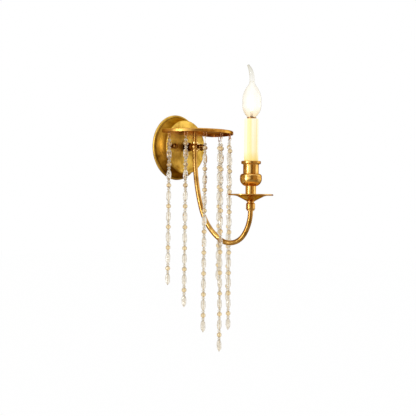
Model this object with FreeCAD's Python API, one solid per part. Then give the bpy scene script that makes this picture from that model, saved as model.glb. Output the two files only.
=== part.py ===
"""Crystal wall sconce: a round backplate, a J-shaped arm with one electric candle, and a small
tray at the top of the arm from which seven bead strands hang in front of the wall.

Millimetres, +Z up. The origin is the centre of the backplate on the wall plane (Y = 0). The
wall is on the +Y side, and everything stands out from it towards -Y. "Out" below is the
distance from the wall, so a point that is D out has y = -D."""

import FreeCAD, Part
import math
import os

from FreeCAD import Placement, Rotation, Vector

os.makedirs("parts", exist_ok=True)

# ---- clearances -----------------------------------------------------------------------------
THREAD_CLEARANCE = 0.05     # radial, between a thread and its nut or tapped hole
SLIP_CLEARANCE = 0.20       # radial, where a piece is pushed over or into another by hand
RUNNING_CLEARANCE = 0.06    # radial, the bulb's cap turning in the screw shell
LOOP_CLEARANCE = 0.10       # between two wires that hang in each other
BORE_CLEARANCE = 0.10       # radial, a bead on its wire
STACK_GAP = 0.20            # between beads that hang on top of each other
HOLE_CLEARANCE = 0.25       # radial, a screw passing through a plain hole

# ---- backplate and its fixing ---------------------------------------------------------------
PLATE_RADIUS = 57.5         # over the bead at the wall
PLATE_BEAD = 4.4            # height of that bead
PLATE_STEP = 3.4            # the bead stands this far outside the foot of the cove
PLATE_FACE_RADIUS = 47.0    # the raised flat face
PLATE_DEPTH = 27.0          # wall to flat face
PLATE_WALL = 1.4
SLOT_SPACING = 88.9         # screw spacing of a common 4 in ceiling or wall box
SLOT_WIDTH = 4.5
SLOT_LENGTH = 9.0
BRACKET_END = 1.55          # metal beyond each slot
BRACKET_LENGTH = SLOT_SPACING + SLOT_LENGTH + 2 * BRACKET_END
BRACKET_WIDTH = 18.0
BRACKET_THICKNESS = 1.8
STUD_SPACING = 66.0
STUD_RADIUS = 2.0
CAP_NUT_RADIUS = 4.7        # ball-shaped nuts on the face
CAP_NUT_FOOT_RADIUS = 3.4
CAP_NUT_HEIGHT = 9.8
STUD_ENGAGEMENT = 6.0       # stud length inside a cap nut
BLOCK_SIZE = (16.0, 9.0, 12.0)   # terminal block: width, depth from the bracket, height

# ---- knuckle on its nipple ------------------------------------------------------------------
AXIS_OUT = 48.0             # the upright tube's axis, out from the wall
NIPPLE_RADIUS = 4.9         # M10 x 1 hollow thread
NIPPLE_BORE = 3.5
NIPPLE_INSIDE = 9.5         # how far it stands into the plate, behind the face
NUT_FLATS = 14.0
NUT_HEIGHT = 3.5
KNUCKLE_RADIUS = 7.3        # ball
KNUCKLE_NECK_RADIUS = 5.6   # the four short necks on the ball
KNUCKLE_NECK_REACH = 8.6    # from the ball's centre to the end of each neck
BOSS_RADIUS = 8.0           # round collar between plate and knuckle
BOSS_WAIST_RADIUS = 5.9
FRONT_CAP_LENGTH = 13.5
FRONT_CAP_RADIUS = 4.4
FRONT_CAP_WAIST = 2.6
FRONT_CAP_TIP = 2.9         # radius of its rounded end

# ---- tray for the strands -------------------------------------------------------------------
TRAY_RADIUS = 66.4
TRAY_TOP = 27.3             # height of its upper face above the knuckle's centre
TRAY_SKIRT = 5.8            # overall height of the turned-down rim
TRAY_WALL = 1.3
TRAY_BACK_GAP = 1.4         # its straight back edge stands this far off the plate's face
TRAY_CORNER = 8.0
TRAY_TOP_ROUND = 2.0        # the rim turns down over this radius
TRAY_EDGE_ROUND = 0.5       # the rim's lower edge
STEM_RADIUS = 4.2           # upright tube between knuckle and tray, same tube as the arm
TUBE_WALL = 1.0
TRAY_NUT_HEIGHT = 3.0
TRAY_NUT_FLATS = 11.0

# ---- arm ------------------------------------------------------------------------------------
ARM_TURN = 8.8              # degrees: the arm is turned to one side, clear of the middle strand
ARM_STRAIGHT = 10.0         # from the knuckle's centre down to the first bend
ARM_BEND_RADII = (324.0, 95.5, 35.7, 69.0)
ARM_BEND_ENDS = (17.6, 57.0, 146.2, 180.0)   # where each bend ends, degrees from straight down
ARM_RISE = 9.8              # straight length above the last bend, inside the collar

# ---- candle ---------------------------------------------------------------------------------
COLLAR_RADIUS = 7.5
COLLAR_NECK_RADIUS = 5.8
COLLAR_HEIGHT = 16.2
COLLAR_SEAT = 9.0           # the arm's end reaches this far up inside the collar
BOBECHE_RADIUS = 37.8
BOBECHE_DEPTH = 11.6        # hub underside to rim
BOBECHE_WALL = 1.2
BOBECHE_BEAD = 2.4          # thickness of its rolled rim
BOBECHE_HUB_RADIUS = 7.2
CUP_STEM_RADIUS = 8.8
CUP_STEM_HEIGHT = 23.8
BOWL_RADIUS = 18.0
BOWL_FOOT_RADIUS = 9.9
BOWL_HEIGHT = 20.4
CUP_RADIUS = 13.1
CUP_HEIGHT = 16.2
LIP_RADIUS = 16.4
LIP_HEIGHT = 5.0
SLEEVE_RADIUS = 11.9
SLEEVE_WALL = 1.2
SLEEVE_SHOWING = 70.1       # above the lip
SLEEVE_SEATED = 21.0        # below the lip's top, inside the cup
CUP_FLOOR = 3.0             # metal under the sleeve's seat
POST_WIDTH = 8.0
POST_THICKNESS = 1.5
HOLDER_RADIUS = 10.2
HOLDER_HEIGHT = 37.0
HOLDER_BELOW_TOP = 1.6      # holder's mouth below the sleeve's top
SHELL_WALL = 0.4

# ---- bulb, small screw cap ------------------------------------------------------------------
CAP_RADIUS = 6.8
CAP_LENGTH = 24.0
CAP_WALL = 0.5
CAP_COLLAR_RADIUS = 7.8
CAP_COLLAR_HEIGHT = 2.6
CAP_PROUD = 2.6             # the cap's collar ends this far above the sleeve
GLASS_RADIUS = 15.8
GLASS_NECK_RADIUS = 7.0
GLASS_WALL = 0.7
GLASS_WIDEST = 24.6         # heights above the collar's top
GLASS_BELLY_TOP = 52.4
GLASS_BELLY_TOP_RADIUS = 7.5
GLASS_SHOULDER = 60.4
GLASS_SHOULDER_RADIUS = 4.5
TIP_STRAIGHT = 2.6
TIP_BEND_RADIUS = 42.0
TIP_BEND_ANGLE = 36.0
TIP_RADIUS = 1.9
GLASS_STEM_HEIGHT = 12.4
FILAMENT_WIDTH = 7.0
FILAMENT_HEIGHT = 24.0
FILAMENT_FOOT = 1.0
FILAMENT_RADIUS = 0.5

# ---- strands --------------------------------------------------------------------------------
STRAND_COUNT = 7
STRAND_INSET = 4.0          # the strands hang this far inside the tray's edge
STRAND_CIRCLE = TRAY_RADIUS - STRAND_INSET     # radius about the upright tube
GOLD_COUNTS = (7, 8, 9, 10, 9, 8, 7)
STRAND_LENGTHS = (258.6, 293.6, 335.6, 370.4, 337.6, 293.6, 258.6)   # below the tray's rim
GOLD_RADIUS = 4.3
GOLD_LENGTH = 7.8
SMALL_RADIUS = 3.0
SMALL_LENGTH = 4.4
LONG_RADIUS = 4.2
LONG_LENGTH = 17.6
STRAND_WIRE_RADIUS = 0.4
END_BALL_RADIUS = 0.9
HOOK_WIRE_RADIUS = 0.5
EYE_WIDTH = 3.6
EYE_HEIGHT = 3.4
EYE_STUB = 1.1
LINK_WIDTH = 4.4
LINK_HEIGHT = 9.0
LOOP_CORNER = 1.2

# ---- leads ----------------------------------------------------------------------------------
LEAD_RADIUS = 0.95
LEAD_OFFSET = 1.15          # each lead's axis from the tube's axis

UP = Vector(0, 0, 1)
ORIGIN = Vector(0, 0, 0)


# ---- helpers --------------------------------------------------------------------------------
def outline(points):
    """A closed wire in the XZ plane. (r, z) is a line to that point, and (rm, zm, r, z) an
    arc through the first point to the second."""
    start = Vector(points[0][0], 0, points[0][1])
    here = start
    edges = []
    for item in list(points[1:]) + [points[0][:2]]:
        there = Vector(item[-2], 0, item[-1])
        if len(item) == 4:
            edges.append(Part.Arc(here, Vector(item[0], 0, item[1]), there).toShape())
        elif (there - here).Length > 1e-6:
            edges.append(Part.LineSegment(here, there).toShape())
        here = there
    return Part.Wire(edges)


def turned(points, angle=360):
    """A solid turned about the Z axis from an (r, z) outline."""
    return Part.Face(outline(points)).revolve(ORIGIN, UP, angle)


def dome(r, z, top):
    """An arc for turned() from (r, z) to the axis at top, with its centre on the axis."""
    height = top - z
    radius = (r * r + height * height) / (2 * height)
    half = math.atan2(r, z - top + radius) / 2
    return radius * math.sin(half), top - radius + radius * math.cos(half), 0, top


def facing_out(shape):
    """Turns a shape made along +Z so that it points out from the wall."""
    return shape.rotated(ORIGIN, Vector(1, 0, 0), 90)


def rod(radius, length, bottom=0.0, bore=0.0):
    solid = Part.makeCylinder(radius, length, Vector(0, 0, bottom))
    if bore:
        solid = solid.cut(Part.makeCylinder(bore, length + 2, Vector(0, 0, bottom - 1)))
    return solid


def hex_nut(flats, height, bottom, bore):
    corner = flats / math.sqrt(3)
    corners = [Vector(corner * math.cos(math.radians(60 * k + 30)),
                      corner * math.sin(math.radians(60 * k + 30)), bottom) for k in range(7)]
    nut = Part.Face(Part.makePolygon(corners)).extrude(Vector(0, 0, height))
    return nut.cut(rod(bore, height + 2, bottom - 1))


def bent_tube(moves, start, heading, radius, bore=0.0):
    """A round tube in the YZ plane of the arm. heading is in degrees from straight down
    towards -Y. A move is (length,) or (bend radius, heading at its end)."""
    y, z, angle = start[0], start[1], heading
    pieces = []
    for move in moves:
        ahead = Vector(0, -math.sin(math.radians(angle)), -math.cos(math.radians(angle)))
        place = Vector(0, y, z)
        ring = Part.Face(Part.Wire(Part.makeCircle(radius, place, ahead)))
        if bore:
            ring = ring.cut(Part.Face(Part.Wire(Part.makeCircle(bore, place, ahead)))).Faces[0]
        if len(move) == 1:
            pieces.append(ring.extrude(ahead * move[0]))
            y += ahead.y * move[0]
            z += ahead.z * move[0]
            continue
        bend, end = move
        side = 1 if end > angle else -1
        centre = place + Vector(0, -math.cos(math.radians(angle)),
                                math.sin(math.radians(angle))) * bend * side
        pieces.append(ring.revolve(centre, Vector(-1, 0, 0), end - angle))
        arm = Vector(0, math.cos(math.radians(end)), -math.sin(math.radians(end))) * bend * side
        y, z, angle = (centre + arm).y, (centre + arm).z, end
    solid = pieces[0].fuse(pieces[1:]) if len(pieces) > 1 else pieces[0]
    return solid, (y, z)


def wire_loop(width, height, corner, wire_radius):
    """A rounded rectangular loop of round wire in the XZ plane. Its top bar's axis is at
    z = 0, and it hangs below."""
    half = width / 2
    bars = []
    for z in (0.0, -height):
        bars.append(Part.makeCylinder(wire_radius, width - 2 * corner,
                                      Vector(-half + corner, 0, z), Vector(1, 0, 0)))
    for x in (-half, half):
        bars.append(Part.makeCylinder(wire_radius, height - 2 * corner,
                                      Vector(x, 0, -height + corner), UP))
    for side, z, first in ((1, -corner, 0), (-1, -corner, 90),
                           (-1, -height + corner, 180), (1, -height + corner, 270)):
        centre = Vector(side * (half - corner), 0, z)
        away = Rotation(Vector(0, -1, 0), first).multVec(Vector(corner, 0, 0))
        along = Rotation(Vector(0, -1, 0), first).multVec(UP)
        section = Part.Face(Part.Wire(Part.makeCircle(wire_radius, centre + away, along)))
        bars.append(section.revolve(centre, Vector(0, -1, 0), 90))
    return bars[0].fuse(bars[1:])


def save(name, shape):
    """Writes one node. A list becomes a group of separate solids."""
    solids = shape if isinstance(shape, list) else [shape]
    clean = []
    for solid in solids:
        clean += solid.removeSplitter().Solids
    out = clean[0] if len(clean) == 1 else Part.makeCompound(clean)
    assert all(s.isValid() for s in clean), name
    out.exportStep("parts/%s.step" % name)
    print("%-22s %3d solid(s) %9.1f mm3" % (name, len(clean), out.Volume))


# ---- backplate and its fixing ---------------------------------------------------------------
def plate_outline(inset, depth):
    """Half section of the backplate, (radius, out): bead at the wall, step, cove, face."""
    bead = PLATE_RADIUS - inset
    foot = PLATE_RADIUS - PLATE_STEP - inset
    face = PLATE_FACE_RADIUS - inset * 0.4
    cove_bottom = (foot, PLATE_BEAD + 0.6)
    cove_top = (face, depth - 2.6)
    middle = (face + 0.22 * (foot - face), PLATE_BEAD + 0.42 * (depth - PLATE_BEAD))
    return bead, foot, face, cove_bottom, cove_top, middle


def make_backplate():
    bead, foot, face, low, high, mid = plate_outline(0.0, PLATE_DEPTH)
    shell = turned([
        (0, 0), (bead - 1.0, 0), (bead, PLATE_BEAD / 2, bead - 1.0, PLATE_BEAD), low,
        mid + high, (face - 0.6, PLATE_DEPTH - 0.7, face - 2.4, PLATE_DEPTH), (0, PLATE_DEPTH)])
    bead, foot, face, low, high, mid = plate_outline(PLATE_WALL * 1.2, PLATE_DEPTH - PLATE_WALL)
    hollow = turned([
        (0, -1), (bead, -1), (bead, PLATE_BEAD - PLATE_WALL), (foot, low[1]),
        mid + high, (face - 0.6, PLATE_DEPTH - PLATE_WALL - 0.7, face - 2.4,
                     PLATE_DEPTH - PLATE_WALL), (0, PLATE_DEPTH - PLATE_WALL)])
    plate = shell.cut(hollow)
    plate = plate.cut(rod(NIPPLE_RADIUS + HOLE_CLEARANCE, PLATE_DEPTH, PLATE_DEPTH / 2))
    for side in (-1, 1):
        hole = rod(STUD_RADIUS + HOLE_CLEARANCE, PLATE_DEPTH, PLATE_DEPTH / 2)
        plate = plate.cut(hole.translated(Vector(side * STUD_SPACING / 2, 0, 0)))
    return facing_out(plate)


def make_bracket():
    bar = Part.makeBox(BRACKET_LENGTH, BRACKET_WIDTH, BRACKET_THICKNESS,
                       Vector(-BRACKET_LENGTH / 2, -BRACKET_WIDTH / 2, 0))
    bar = bar.makeFillet(2.5, [e for e in bar.Edges if abs(e.tangentAt(0).z) > 0.9])
    for side in (-1, 1):
        stud = rod(STUD_RADIUS + THREAD_CLEARANCE, 10, -5)
        bar = bar.cut(stud.translated(Vector(side * STUD_SPACING / 2, 0, 0)))
        flat = SLOT_LENGTH - SLOT_WIDTH
        centre = side * SLOT_SPACING / 2
        slot = Part.makeBox(flat, SLOT_WIDTH, 10, Vector(centre - flat / 2, -SLOT_WIDTH / 2, -5))
        for end in (-1, 1):
            slot = slot.fuse(rod(SLOT_WIDTH / 2, 10, -5).translated(
                Vector(centre + end * flat / 2, 0, 0)))
        bar = bar.cut(slot)
    return facing_out(bar)


def make_studs():
    length = PLATE_DEPTH + STUD_ENGAGEMENT
    stud = facing_out(rod(STUD_RADIUS, length))
    return [stud.translated(Vector(side * STUD_SPACING / 2, 0, 0)) for side in (-1, 1)]


def make_cap_nuts():
    ball = CAP_NUT_HEIGHT - CAP_NUT_RADIUS
    waist = math.sqrt(CAP_NUT_RADIUS ** 2 - CAP_NUT_FOOT_RADIUS ** 2)
    nut = turned([(0, 0), (CAP_NUT_FOOT_RADIUS, 0), (CAP_NUT_FOOT_RADIUS, ball - waist),
                  (CAP_NUT_RADIUS, ball, 0, CAP_NUT_HEIGHT)])
    nut = nut.cut(rod(STUD_RADIUS + THREAD_CLEARANCE, STUD_ENGAGEMENT + 1.5, -1))
    nut = facing_out(nut.translated(Vector(0, 0, PLATE_DEPTH)))
    return [nut.translated(Vector(side * STUD_SPACING / 2, 0, 0)) for side in (-1, 1)]


def make_terminal_block():
    width, depth, height = BLOCK_SIZE
    block = Part.makeBox(width, height, depth,
                         Vector(-width / 2, -height / 2, BRACKET_THICKNESS))
    block = block.makeFillet(1.0, [e for e in block.Edges if abs(e.tangentAt(0).z) > 0.9])
    top = BRACKET_THICKNESS + depth
    for side in (-1, 1):
        hole = rod(LEAD_RADIUS + BORE_CLEARANCE, 5.0, top - 4.0)
        block = block.cut(hole.translated(Vector(side * LEAD_OFFSET, 0, 0)))
        screw = rod(1.6, 3.0, top - 1.2)
        block = block.cut(screw.translated(Vector(side * 4.6, 3.0, 0)))
    return facing_out(block)


# ---- knuckle on its nipple ------------------------------------------------------------------
NIPPLE_START = PLATE_DEPTH - NIPPLE_INSIDE
NIPPLE_END = AXIS_OUT - NIPPLE_BORE - 1.0


def make_nipple():
    return facing_out(rod(NIPPLE_RADIUS, NIPPLE_END - NIPPLE_START, NIPPLE_START, NIPPLE_BORE))


def make_nipple_nut():
    bottom = PLATE_DEPTH - PLATE_WALL - NUT_HEIGHT
    return facing_out(hex_nut(NUT_FLATS, NUT_HEIGHT, bottom, NIPPLE_RADIUS + THREAD_CLEARANCE))


def make_boss():
    length = AXIS_OUT - KNUCKLE_NECK_REACH - PLATE_DEPTH
    boss = turned([
        (0, 0), (BOSS_RADIUS - 0.6, 0), (BOSS_RADIUS, 0.9), (BOSS_RADIUS, length * 0.5),
        (BOSS_RADIUS - 0.5, length * 0.62, BOSS_WAIST_RADIUS, length * 0.7),
        (BOSS_WAIST_RADIUS, length), (0, length)])
    boss = boss.cut(rod(NIPPLE_RADIUS + THREAD_CLEARANCE, length + 2, -1))
    return facing_out(boss.translated(Vector(0, 0, PLATE_DEPTH)))


def knuckle_flat(direction):
    """One short neck of the knuckle, from the ball's centre outwards."""
    neck = Part.makeCylinder(KNUCKLE_NECK_RADIUS, KNUCKLE_NECK_REACH, ORIGIN, direction)
    edge = [e for e in neck.Edges if e.Closed and
            (e.CenterOfMass - direction * KNUCKLE_NECK_REACH).Length < 0.1]
    return neck.makeFillet(0.5, edge)


def make_knuckle():
    ball = Part.makeSphere(KNUCKLE_RADIUS)
    ways = [Vector(0, 0, 1), Vector(0, 0, -1), Vector(0, 1, 0), Vector(0, -1, 0)]
    body = ball.fuse([knuckle_flat(way) for way in ways])
    # upright tubes seat in the top and bottom, the nipple in the back, the cap in the front
    deep = KNUCKLE_NECK_REACH + 1
    tube_seat = STEM_RADIUS + THREAD_CLEARANCE
    body = body.cut(Part.makeCylinder(STEM_RADIUS - TUBE_WALL, 2 * deep, Vector(0, 0, -deep)))
    body = body.cut(rod(tube_seat, deep, NIPPLE_BORE + 1.0))
    body = body.cut(rod(tube_seat, deep, -deep - NIPPLE_BORE - 1.0))
    back_seat = AXIS_OUT - NIPPLE_END
    body = body.cut(Part.makeCylinder(NIPPLE_BORE, deep, ORIGIN, Vector(0, 1, 0)))
    body = body.cut(Part.makeCylinder(NIPPLE_RADIUS + THREAD_CLEARANCE, deep,
                                      Vector(0, back_seat, 0), Vector(0, 1, 0)))
    body = body.cut(Part.makeCylinder(2.0 + THREAD_CLEARANCE, deep,
                                      Vector(0, -KNUCKLE_NECK_REACH + 4.0, 0), Vector(0, -1, 0)))
    return body.translated(Vector(0, -AXIS_OUT, 0))


def make_front_cap():
    start = AXIS_OUT + KNUCKLE_NECK_REACH
    r, waist, tip, end = FRONT_CAP_RADIUS, FRONT_CAP_WAIST, FRONT_CAP_TIP, FRONT_CAP_LENGTH
    cap = turned([
        (0, -3.8), (2.0, -3.8), (2.0, 0), (r - 0.4, 0), (r - 0.4, 1.4), (waist, 2.0),
        (waist, 3.6), (r, 5.0, r - 0.2, 6.6), (r - 0.9, 7.6, waist, 8.0), (waist, end - 4.7),
        (tip + 0.3, end - 4.1, tip, end - 2.3), dome(tip, end - 2.3, end)])
    return facing_out(cap.translated(Vector(0, 0, start)))


# ---- tray for the strands -------------------------------------------------------------------
TRAY_BACK = PLATE_DEPTH + TRAY_BACK_GAP      # out from the wall
TRAY_BOTTOM = TRAY_TOP - TRAY_SKIRT
TRAY_UNDER = TRAY_TOP - TRAY_WALL


def tray_face(radius, back, corner, height):
    """A disc about the upright tube, cut straight at the back, with rounded corners."""
    off = AXIS_OUT - back - corner                  # axis to the corner's centre, towards the wall
    cx = math.sqrt((radius - corner) ** 2 - off ** 2)
    right = Vector(cx, -back - corner, height)
    axis = Vector(0, -AXIS_OUT, height)
    reach = (right - axis).normalize() * radius
    on_circle = axis + reach
    on_chord = Vector(cx, -back, height)
    between = (on_circle - right).normalize() + Vector(0, 1, 0)
    corner_mid = right + between.normalize() * corner

    def mirrored(p):
        return Vector(-p.x, p.y, p.z)

    front = axis + Vector(0, -radius, 0)
    edges = [
        Part.LineSegment(mirrored(on_chord), on_chord).toShape(),
        Part.Arc(on_chord, corner_mid, on_circle).toShape(),
        Part.Arc(on_circle, front, mirrored(on_circle)).toShape(),
        Part.Arc(mirrored(on_circle), mirrored(corner_mid), mirrored(on_chord)).toShape()]
    return Part.Face(Part.Wire(edges))


def make_tray():
    block = tray_face(TRAY_RADIUS, TRAY_BACK, TRAY_CORNER, TRAY_BOTTOM)
    block = block.extrude(Vector(0, 0, TRAY_SKIRT))
    for height, radius in ((TRAY_TOP, TRAY_TOP_ROUND), (TRAY_BOTTOM, TRAY_EDGE_ROUND)):
        edges = [e for e in block.Edges if abs(e.CenterOfMass.z - height) < 1e-3]
        block = block.makeFillet(radius, edges)
    hollow = tray_face(TRAY_RADIUS - TRAY_WALL, TRAY_BACK + TRAY_WALL,
                       TRAY_CORNER - TRAY_WALL, TRAY_BOTTOM - 1)
    hollow = hollow.extrude(Vector(0, 0, TRAY_SKIRT - TRAY_WALL + 1))
    tray = block.cut(hollow)
    hole = rod(STEM_RADIUS - TUBE_WALL / 2 + HOLE_CLEARANCE, TRAY_SKIRT * 2, TRAY_BOTTOM)
    return tray.cut(hole.translated(Vector(0, -AXIS_OUT, 0)))


STEM_BOTTOM = NIPPLE_BORE + 1.0
NOSE_RADIUS = STEM_RADIUS - TUBE_WALL / 2    # the stem's thinner threaded end, above its shoulder


def make_stem():
    bore = STEM_RADIUS - TUBE_WALL - 0.5
    stem = rod(STEM_RADIUS, TRAY_UNDER - STEM_BOTTOM, STEM_BOTTOM)
    nose = rod(NOSE_RADIUS, TRAY_WALL + TRAY_NUT_HEIGHT, TRAY_UNDER)
    stem = stem.fuse(nose).cut(rod(bore, TRAY_TOP + 2 * TRAY_NUT_HEIGHT, 0))
    return stem.translated(Vector(0, -AXIS_OUT, 0))


def make_tray_nut():
    nut = hex_nut(TRAY_NUT_FLATS, TRAY_NUT_HEIGHT, TRAY_TOP, NOSE_RADIUS + THREAD_CLEARANCE)
    return nut.translated(Vector(0, -AXIS_OUT, 0))


# ---- arm, in its own frame: origin at the knuckle's centre, -Y is the way it reaches --------
ARM_FRAME = Placement(Vector(0, -AXIS_OUT, 0), Rotation(UP, ARM_TURN))


def in_arm_frame(shape):
    placed = shape.copy()
    placed.transformShape(ARM_FRAME.toMatrix())
    return placed


def arm_path():
    """Moves of the arm's axis from the knuckle down and round to its upright end."""
    return [(ARM_STRAIGHT - ARM_START,)] + list(zip(ARM_BEND_RADII, ARM_BEND_ENDS)) + [(ARM_RISE,)]


ARM_START = NIPPLE_BORE + 1.0
ARM_TUBE, ARM_END = bent_tube(arm_path(), (0, -ARM_START), 0, STEM_RADIUS,
                              STEM_RADIUS - TUBE_WALL)
REACH = -ARM_END[0]                       # candle's axis from the knuckle's axis
COLLAR_BOTTOM = ARM_END[1] - COLLAR_SEAT
COLLAR_TOP = COLLAR_BOTTOM + COLLAR_HEIGHT


def on_candle_axis(shape):
    return in_arm_frame(shape.translated(Vector(0, -REACH, 0)))


def make_collar():
    r, neck, h = COLLAR_RADIUS, COLLAR_NECK_RADIUS, COLLAR_HEIGHT
    b, t, ring = COLLAR_BOTTOM, COLLAR_TOP, 0.84 * COLLAR_RADIUS
    collar = turned([
        (0, b), (0.92 * ring, b), (ring, b + 0.03 * h), (ring, b + 0.10 * h),
        (r, b + 0.19 * h, r, b + 0.31 * h), (r, t - 0.33 * h),
        (0.97 * r, t - 0.25 * h, neck, t - 0.18 * h), (neck, t - 0.10 * h),
        (1.15 * neck, t - 0.05 * h), (1.15 * neck, t), (0, t)])
    collar = collar.cut(rod(STEM_RADIUS + THREAD_CLEARANCE, COLLAR_SEAT + 1, b - 1))
    collar = collar.cut(rod(NIPPLE_BORE, COLLAR_HEIGHT, b))
    return collar.cut(rod(NIPPLE_RADIUS + THREAD_CLEARANCE, COLLAR_HEIGHT, ROD_BOTTOM))


ROD_BOTTOM = COLLAR_BOTTOM + COLLAR_SEAT + 1.0     # threaded rod that ties collar, dish and cup
DISH_BOTTOM = COLLAR_TOP
RIM_TOP = DISH_BOTTOM + BOBECHE_DEPTH
STEM_FOOT = DISH_BOTTOM + BOBECHE_WALL
BOWL_BOTTOM = STEM_FOOT + CUP_STEM_HEIGHT
CUP_BOTTOM = BOWL_BOTTOM + BOWL_HEIGHT
LIP_BOTTOM = CUP_BOTTOM + CUP_HEIGHT
LIP_TOP = LIP_BOTTOM + LIP_HEIGHT
SLEEVE_BOTTOM = LIP_TOP - SLEEVE_SEATED
SLEEVE_TOP = LIP_TOP + SLEEVE_SHOWING
ROD_TOP = SLEEVE_BOTTOM + NUT_HEIGHT + 1.0


def make_bobeche():
    """A wide shallow dish: flat hub, sides that sweep out and flatten into the rim."""
    hub, rim, b = BOBECHE_HUB_RADIUS, BOBECHE_RADIUS, DISH_BOTTOM
    w, d, bead_height = BOBECHE_WALL, BOBECHE_DEPTH, BOBECHE_BEAD
    knee = hub + 0.48 * (rim - hub)
    flat = 0.5 * (knee + rim)
    inside = rim - bead_height / 2
    dish = turned([
        (0, b), (hub, b), (0.55 * hub + 0.45 * knee, b + 0.30 * d, knee, b + 0.66 * d),
        (flat, b + d - bead_height + 0.1, inside, b + d - bead_height),
        (rim, b + d - bead_height / 2, inside, b + d), (rim - bead_height, b + d - 0.5),
        (flat - 0.3, b + d - 0.9, knee - 0.6, b + 0.66 * d + w),
        (0.55 * hub + 0.45 * knee - 0.6, b + 0.30 * d + w, hub - 0.2, b + w), (0, b + w)])
    return dish.cut(rod(NIPPLE_RADIUS + HOLE_CLEARANCE, 3 * w, b - w))


def make_cup_stem():
    r, b, h = CUP_STEM_RADIUS, STEM_FOOT, CUP_STEM_HEIGHT
    foot = BOBECHE_HUB_RADIUS - 0.9
    stem = turned([(0, b), (foot, b), (r, b + 4.0), (r, b + h), (0, b + h)])
    return stem.cut(rod(NIPPLE_RADIUS + HOLE_CLEARANCE, h + 2, b - 1))


def make_cup():
    """Turned candle cup: round bowl, straight cup, lip."""
    foot, bowl, cup, lip = BOWL_FOOT_RADIUS, BOWL_RADIUS, CUP_RADIUS, LIP_RADIUS
    b, wide = BOWL_BOTTOM, BOWL_BOTTOM + 0.71 * BOWL_HEIGHT
    body = turned([
        (0, b), (foot, b), (foot + 0.74 * (bowl - foot), b + 0.22 * BOWL_HEIGHT, bowl, wide),
        (bowl - 0.7, CUP_BOTTOM - 2.0, cup + 1.2, CUP_BOTTOM), (cup, CUP_BOTTOM),
        (cup, LIP_BOTTOM - 1.2), (cup + 0.4, LIP_BOTTOM - 0.4, lip - 0.8, LIP_BOTTOM),
        (lip, LIP_BOTTOM + 1.2, lip, LIP_BOTTOM + LIP_HEIGHT * 0.45),
        (lip, LIP_TOP - 1.2), (lip - 0.4, LIP_TOP - 0.3, lip - 1.2, LIP_TOP), (0, LIP_TOP)])
    seat = SLEEVE_RADIUS + SLIP_CLEARANCE
    body = body.cut(rod(seat, SLEEVE_SEATED + 1, SLEEVE_BOTTOM))
    low = BOWL_BOTTOM + CUP_FLOOR
    flat = NUT_FLATS / math.sqrt(3) + 0.6
    ledge = SLEEVE_RADIUS - SLEEVE_WALL - 0.3
    scoop = turned([(0, low), (flat, low), (ledge + 0.9, low + 2.8, ledge + 1.0, low + 6.0),
                    (ledge, SLEEVE_BOTTOM - 2.0), (ledge, SLEEVE_BOTTOM + 1), (0, SLEEVE_BOTTOM + 1)])
    body = body.cut(scoop)
    return body.cut(rod(NIPPLE_RADIUS + HOLE_CLEARANCE, 3 * CUP_FLOOR, BOWL_BOTTOM - CUP_FLOOR))


def make_threaded_rod():
    return rod(NIPPLE_RADIUS, ROD_TOP - ROD_BOTTOM, ROD_BOTTOM, NIPPLE_BORE)


NUT_SEAT = BOWL_BOTTOM + CUP_FLOOR


def make_cup_nut():
    """Lock nut at the bottom of the cup, under the holder's post."""
    return hex_nut(NUT_FLATS, NUT_HEIGHT, NUT_SEAT, NIPPLE_RADIUS + THREAD_CLEARANCE)


def make_sleeve():
    height = SLEEVE_TOP - SLEEVE_BOTTOM
    sleeve = rod(SLEEVE_RADIUS, height, SLEEVE_BOTTOM, SLEEVE_RADIUS - SLEEVE_WALL)
    edge = [e for e in sleeve.Edges if e.Closed and abs(e.CenterOfMass.z - SLEEVE_TOP) < 0.01]
    return sleeve.makeFillet(0.45, edge)


HOLDER_TOP = SLEEVE_TOP - HOLDER_BELOW_TOP
HOLDER_BOTTOM = HOLDER_TOP - HOLDER_HEIGHT
SHELL_BORE = CAP_RADIUS + RUNNING_CLEARANCE
CAP_TOP = SLEEVE_TOP + CAP_PROUD
CAP_BOTTOM = CAP_TOP - CAP_COLLAR_HEIGHT - CAP_LENGTH


def make_post():
    """Strap of folded steel: a washer foot on the threaded rod, and two legs up to the
    holder."""
    foot = rod(SLEEVE_RADIUS - SLEEVE_WALL - SLIP_CLEARANCE, POST_THICKNESS, NUT_SEAT + NUT_HEIGHT)
    foot = foot.cut(rod(NIPPLE_RADIUS + THREAD_CLEARANCE, NUT_HEIGHT + 2 * POST_THICKNESS, NUT_SEAT))
    top = HOLDER_BOTTOM
    legs = []
    for side in (-1, 1):
        outer = SLEEVE_RADIUS - SLEEVE_WALL - SLIP_CLEARANCE - 1.2
        x = side * (outer - POST_THICKNESS / 2)
        legs.append(Part.makeBox(POST_THICKNESS, POST_WIDTH, top - NUT_SEAT - NUT_HEIGHT,
                                 Vector(x - POST_THICKNESS / 2, -POST_WIDTH / 2,
                                        NUT_SEAT + NUT_HEIGHT)))
    return foot.fuse(legs)


def make_holder():
    """Insulating body of the lamp holder, a cup with a floor that carries the contact."""
    body = rod(HOLDER_RADIUS, HOLDER_HEIGHT, HOLDER_BOTTOM)
    edge = [e for e in body.Edges if e.Closed]
    body = body.makeFillet(0.6, edge)
    body = body.cut(rod(SHELL_BORE + SHELL_WALL + THREAD_CLEARANCE, HOLDER_HEIGHT,
                        CAP_BOTTOM - 3.5))
    body = body.cut(rod(LEAD_OFFSET + LEAD_RADIUS + BORE_CLEARANCE, 6, HOLDER_BOTTOM - 1))
    # the cap's collar turns in a wider mouth
    return body.cut(rod(CAP_COLLAR_RADIUS + SLIP_CLEARANCE, 10,
                        CAP_TOP - CAP_COLLAR_HEIGHT - 1.0))


def make_screw_shell():
    return rod(SHELL_BORE + SHELL_WALL, CAP_LENGTH - 3.0, CAP_BOTTOM + 1.0, SHELL_BORE)


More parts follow.
